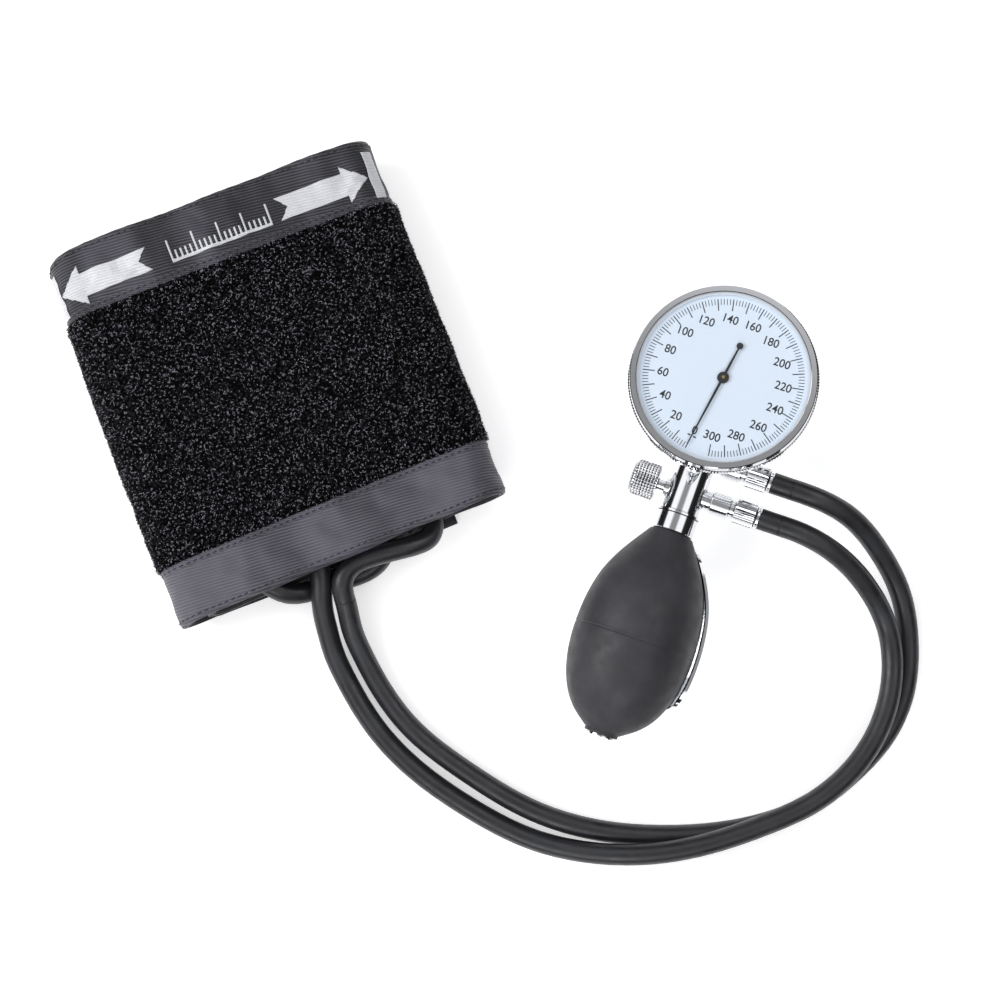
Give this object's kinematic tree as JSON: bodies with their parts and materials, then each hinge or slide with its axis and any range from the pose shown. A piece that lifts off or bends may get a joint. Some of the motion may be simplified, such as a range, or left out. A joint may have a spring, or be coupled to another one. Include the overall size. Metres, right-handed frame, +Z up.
{
  "type": "upper arm blood pressure monitor",
  "caption": "Hand-held aneroid blood pressure monitor: folded hook-and-loop arm cuff, twin rubber hoses, round dial gauge, release valve, squeeze bulb and spoon guard.",
  "frame": {"origin": "on the table, at the middle of the laid-out set's footprint", "axes": "+Z up from the table; +Y from the hoses' bend towards the gauge and the cuff's upper edge; +X from the cuff towards the gauge"},
  "size_m": [0.3403, 0.2805, 0.063],
  "materials": {
    "polished_chrome": "bright plated",
    "movement_brass": "machined",
    "movement_steel": "fine ground",
    "dial_face": "satin, pale bluish white",
    "dial_spacer": "satin",
    "pointer_black": "satin black",
    "lens_glass": "clear",
    "seal_rubber": "plain",
    "bulb_rubber": "matte, lightly powdered",
    "hose_rubber": "matte",
    "cuff_twill": "woven nylon with a fine rib",
    "cuff_lining": "plain woven nylon",
    "loop_fabric": "brushed loop pile",
    "hook_fabric": "hook tape"
  },
  "bodies": {
    "frame": {"gauge_case": "polished_chrome", "gauge_bezel": "polished_chrome", "gauge_lens": "lens_glass", "lens_spacer": "dial_spacer", "dial_plate": "dial_face", "stem_gasket": "seal_rubber", "stem_nut": "movement_brass", "pressure_stem": "movement_brass", "movement_base": "movement_brass", "movement_pillars": "movement_brass", "bridge_spacers": "movement_brass", "bridge_screws": "movement_steel", "lower_bridge": "movement_brass", "upper_bridge": "movement_brass", "hairspring": "movement_steel", "capsule_lower": "movement_steel", "capsule_upper": "movement_steel", "valve_body": "polished_chrome", "bulb_collar": "polished_chrome", "spoon_guard": "polished_chrome", "bulb": "bulb_rubber", "inlet_valve_body": "polished_chrome", "inlet_screen": "movement_steel", "outlet_valve_seat": "movement_brass", "release_valve_seat": "polished_chrome", "upper_port_stub": "polished_chrome", "lower_port_stub": "polished_chrome", "upper_barb_stem": "polished_chrome", "lower_barb_stem": "polished_chrome", "port_seals": "seal_rubber", "hose_stop_washers": "polished_chrome", "bulb_hose": "hose_rubber", "gauge_hose": "hose_rubber", "cuff_outer_cloth": "cuff_twill", "cuff_inner_cloth": "cuff_lining", "loop_pile": "loop_fabric", "hook_patch": "hook_fabric", "bladder": "seal_rubber"},
    "sector": {"sector_gear": "movement_brass"},
    "pointer_spindle": {"pinion_spindle": "movement_brass", "pointer": "pointer_black", "pointer_hub": "pointer_black"},
    "rocker": {"rocking_shaft": "movement_steel"},
    "capsule_push": {"push_boss": "movement_brass"},
    "release_stem": {"release_needle": "polished_chrome"},
    "release_knob_body": {"release_knob": "polished_chrome"},
    "upper_nut": {"upper_union_nut": "polished_chrome"},
    "lower_nut": {"lower_union_nut": "polished_chrome"},
    "outlet_ball": {"outlet_valve_ball": "movement_steel"},
    "inlet_ball": {"inlet_valve_ball": "movement_steel"}
  },
  "joints": [
    {"name": "sector_turn", "type": "hinge", "parent": "frame", "child": "sector", "pos_m": [0.10341, 0.03384, 0.05408], "axis": [-0.0982, 0.0358, 0.9945], "range_deg": [0, 34.26]},
    {"name": "pointer_turn", "type": "hinge", "parent": "frame", "child": "pointer_spindle", "pos_m": [0.08799, 0.03945, 0.05235], "axis": [-0.0982, 0.0358, 0.9945], "range_deg": [-342.6, 0]},
    {"name": "rocker_tilt", "type": "hinge", "parent": "frame", "child": "rocker", "pos_m": [0.08861, 0.03506, 0.04714], "axis": [0.9949, 0.0244, 0.0974], "range_deg": [0, 18.46]},
    {"name": "capsule_rise", "type": "slide", "parent": "frame", "child": "capsule_push", "axis": [-0.0982, 0.0358, 0.9945], "range_m": [0, 0.00133]},
    {"name": "release_travel", "type": "slide", "parent": "frame", "child": "release_stem", "axis": [-0.9345, 0.3401, -0.1045], "range_m": [0, 0.00075]},
    {"name": "release_turn", "type": "hinge", "parent": "release_stem", "child": "release_knob_body", "pos_m": [0.0618, 0.00588, 0.02423], "axis": [-0.9345, 0.3401, -0.1045], "range_deg": [0, 540]},
    {"name": "upper_nut_turn", "type": "hinge", "parent": "frame", "child": "upper_nut", "pos_m": [0.1032, 0.00624, 0.0283], "axis": [0.9345, -0.3401, 0.1045], "continuous": true},
    {"name": "lower_nut_turn", "type": "hinge", "parent": "frame", "child": "lower_nut", "pos_m": [0.09824, -0.00738, 0.0283], "axis": [0.9345, -0.3401, 0.1045], "continuous": true},
    {"name": "outlet_ball_lift", "type": "slide", "parent": "frame", "child": "outlet_ball", "axis": [0.342, 0.9397, 0], "range_m": [0, 0.001]},
    {"name": "inlet_ball_lift", "type": "slide", "parent": "frame", "child": "inlet_ball", "axis": [0.342, 0.9397, 0], "range_m": [0, 0.001]}
  ],
  "couplings": [
    {"joint": "pointer_turn", "follows": "sector_turn", "ratio": -10},
    {"joint": "rocker_tilt", "follows": "sector_turn", "ratio": 0.53882},
    {"joint": "capsule_rise", "follows": "sector_turn", "m_per_rad": 0.002224},
    {"joint": "release_travel", "follows": "release_turn", "m_per_rad": 0.000079576}
  ]
}
